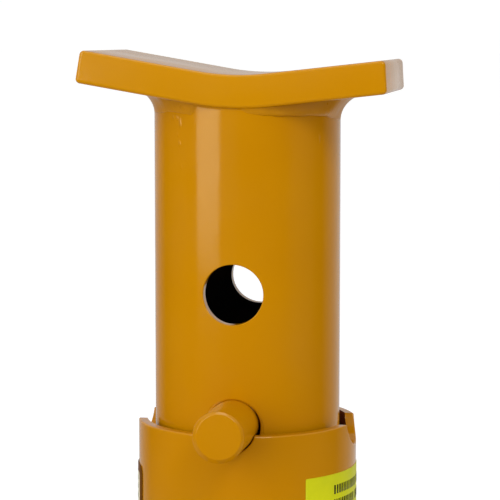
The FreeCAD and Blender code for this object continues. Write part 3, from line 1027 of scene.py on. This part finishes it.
def make_camera():
    data = bpy.data.cameras.new("camera")
    data.sensor_width = 36
    data.lens = CAMERA_LENS
    camera = bpy.data.objects.new("camera", data)
    bpy.context.scene.collection.objects.link(camera)
    camera.location = (CAMERA_DISTANCE * math.sin(CAMERA_AZIMUTH),
                       -CAMERA_DISTANCE * math.cos(CAMERA_AZIMUTH), CAMERA_Z)
    camera.rotation_euler = (math.pi / 2 - CAMERA_PITCH, 0, CAMERA_YAW)
    bpy.context.scene.camera = camera


# Name, direction in degrees from the front towards +X, height, distance, width and length in metres,
# power in watts, and whether the paint mirrors it.
SOFT_BOXES = (
    ("key", -40, 0.75, 1.7, 0.97, 1.34, 8.5, True),
    ("front_fill", -22, 0.72, 1.8, 1.2, 1.2, 6.9, False),
    ("left_fill", -85, 0.60, 1.8, 1.2, 1.2, 4, False),
    ("high_light", 31, 1.46, 1.58, 0.5, 0.5, 8, True),
    ("right_fill", 80, 0.45, 1.8, 1.2, 1.2, 6.3, False),
)


def area_light(name, direction_deg, height, distance, width, tall, power, mirrored):
    data = bpy.data.lights.new(name, "AREA")
    data.shape = "RECTANGLE"
    data.size = width
    data.size_y = tall
    data.energy = power
    light = bpy.data.objects.new(name, data)
    bpy.context.scene.collection.objects.link(light)
    angle = math.radians(direction_deg)
    place = Vector((distance * math.sin(angle), -distance * math.cos(angle), height))
    light.location = place
    light.visible_glossy = mirrored
    aim = Vector((0, 0, RIM_Z)) - place
    light.rotation_euler = aim.to_track_quat("-Z", "Y").to_euler()


def background(tree, strength):
    """A white background shader; its strength is a number or a socket."""
    shader = tree.nodes.new("ShaderNodeBackground")
    shader.inputs["Color"].default_value = (1, 1, 1, 1)
    if isinstance(strength, float):
        shader.inputs["Strength"].default_value = strength
    else:
        tree.links.new(strength, shader.inputs["Strength"])
    return shader.outputs["Background"]


def mixed(tree, share, first, second):
    mix = tree.nodes.new("ShaderNodeMixShader")
    tree.links.new(share, mix.inputs["Fac"])
    tree.links.new(first, mix.inputs[1])
    tree.links.new(second, mix.inputs[2])
    return mix.outputs["Shader"]


def soft_step(tree, source, low, high, strength):
    """A brightness that eases from nothing to its strength as the source goes from low to high."""
    node = tree.nodes.new("ShaderNodeMapRange")
    node.interpolation_type = "SMOOTHSTEP"
    node.inputs["From Min"].default_value = low
    node.inputs["From Max"].default_value = high
    node.inputs["To Min"].default_value = 0.0
    node.inputs["To Max"].default_value = strength
    tree.links.new(source, node.inputs["Value"])
    return node.outputs["Result"]


def highest(tree, first, second):
    node = tree.nodes.new("ShaderNodeMath")
    node.operation = "MAXIMUM"
    tree.links.new(first, node.inputs[0])
    tree.links.new(second, node.inputs[1])
    return node.outputs["Value"]


def make_world():
    """A white tent that is dark towards the front, where the photographer stands."""
    world = bpy.data.worlds.new("studio")
    bpy.context.scene.world = world
    world.use_nodes = True
    tree = world.node_tree
    tree.nodes.clear()
    place = tree.nodes.new("ShaderNodeTexCoord")
    split = tree.nodes.new("ShaderNodeSeparateXYZ")
    tree.links.new(place.outputs["Generated"], split.inputs["Vector"])
    towards = tree.nodes.new("ShaderNodeVectorMath")
    towards.operation = "DOT_PRODUCT"
    towards.inputs[1].default_value = (-math.sin(BACKDROP_TURN), math.cos(BACKDROP_TURN), 0)
    tree.links.new(place.outputs["Generated"], towards.inputs[0])
    backdrop = soft_step(tree, towards.outputs["Value"], low=0.10, high=1.0, strength=0.6)
    ceiling = soft_step(tree, split.outputs["Z"], low=0.3, high=0.8, strength=0.5)
    overhead = soft_step(tree, split.outputs["Z"], low=0.93, high=0.98, strength=2.2)
    tent = highest(tree, highest(tree, backdrop, ceiling), overhead)
    path = tree.nodes.new("ShaderNodeLightPath")
    around = mixed(tree, path.outputs["Is Glossy Ray"], background(tree, FILL_LIGHT), background(tree, tent))
    seen = mixed(tree, path.outputs["Is Camera Ray"], around, background(tree, PLAIN_WHITE))
    output = tree.nodes.new("ShaderNodeOutputWorld")
    tree.links.new(seen, output.inputs["Surface"])


def make_floor():
    radius = 60.0
    count = 96
    verts = [(0, 0, 0)]
    for i in range(count):
        angle = 2 * math.pi * i / count
        verts.append((radius * math.cos(angle), radius * math.sin(angle), 0))
    faces = [(0, 1 + i, 1 + (i + 1) % count) for i in range(count)]
    floor = new_piece("floor", verts, faces)
    made = Nodes("pale_floor")
    grain = made.ramp(made.noise(6, 3.0), 0.3, 0.7)
    tone = made.mix(grain, (0.46, 0.46, 0.455, 1), (0.44, 0.44, 0.44, 1))
    path = made.add("ShaderNodeLightPath")
    glow = made.ramp(path.outputs["Is Camera Ray"], 0.0, 1.0, 0.08, 0.80)
    made.surface(Base_Color=tone, Roughness=0.9, Specular_IOR_Level=0.1,
                 Emission_Color=(1, 1, 1, 1), Emission_Strength=glow)
    lit = made.output.inputs["Surface"].links[0].from_socket
    place = made.add("ShaderNodeNewGeometry")
    away = made.add("ShaderNodeVectorMath", operation="LENGTH")
    made.link(place.outputs["Position"], away.inputs[0])
    heading = made.add("ShaderNodeVectorMath", operation="NORMALIZE")
    made.link(place.outputs["Position"], heading.inputs[0])
    split = made.add("ShaderNodeSeparateXYZ")
    made.link(heading.outputs["Vector"], split.inputs["Vector"])
    table = made.math("MULTIPLY", made.ramp(away.outputs["Value"], 0.45, 1.1, 0.28, 0.0),
                       made.ramp(split.outputs["Y"], -0.5, 0.1, 0.3, 1.0))
    backdrop = made.ramp(split.outputs["Y"], 0.4, 1.0, 0.0, 0.65)
    mirror = made.add("ShaderNodeEmission")
    made.link(made.math("ADD", table, backdrop), mirror.inputs["Strength"])
    made.link(mixed(made.tree, path.outputs["Is Glossy Ray"], lit, mirror.outputs["Emission"]),
              made.output.inputs["Surface"])
    floor.data.materials.append(made.material)


make_post()
make_saddle()
make_saddle_weld()
make_paint_runs()
make_pin()
make_gap_fill_paint_and_light()
make_base_tube()
make_rating_label()
make_care_label()
make_base_welds()
dress_frame_nodes()
make_camera()
make_world()
make_floor()
for soft_box in SOFT_BOXES:
    area_light(*soft_box)
bpy.context.scene.view_settings.view_transform = "Standard"
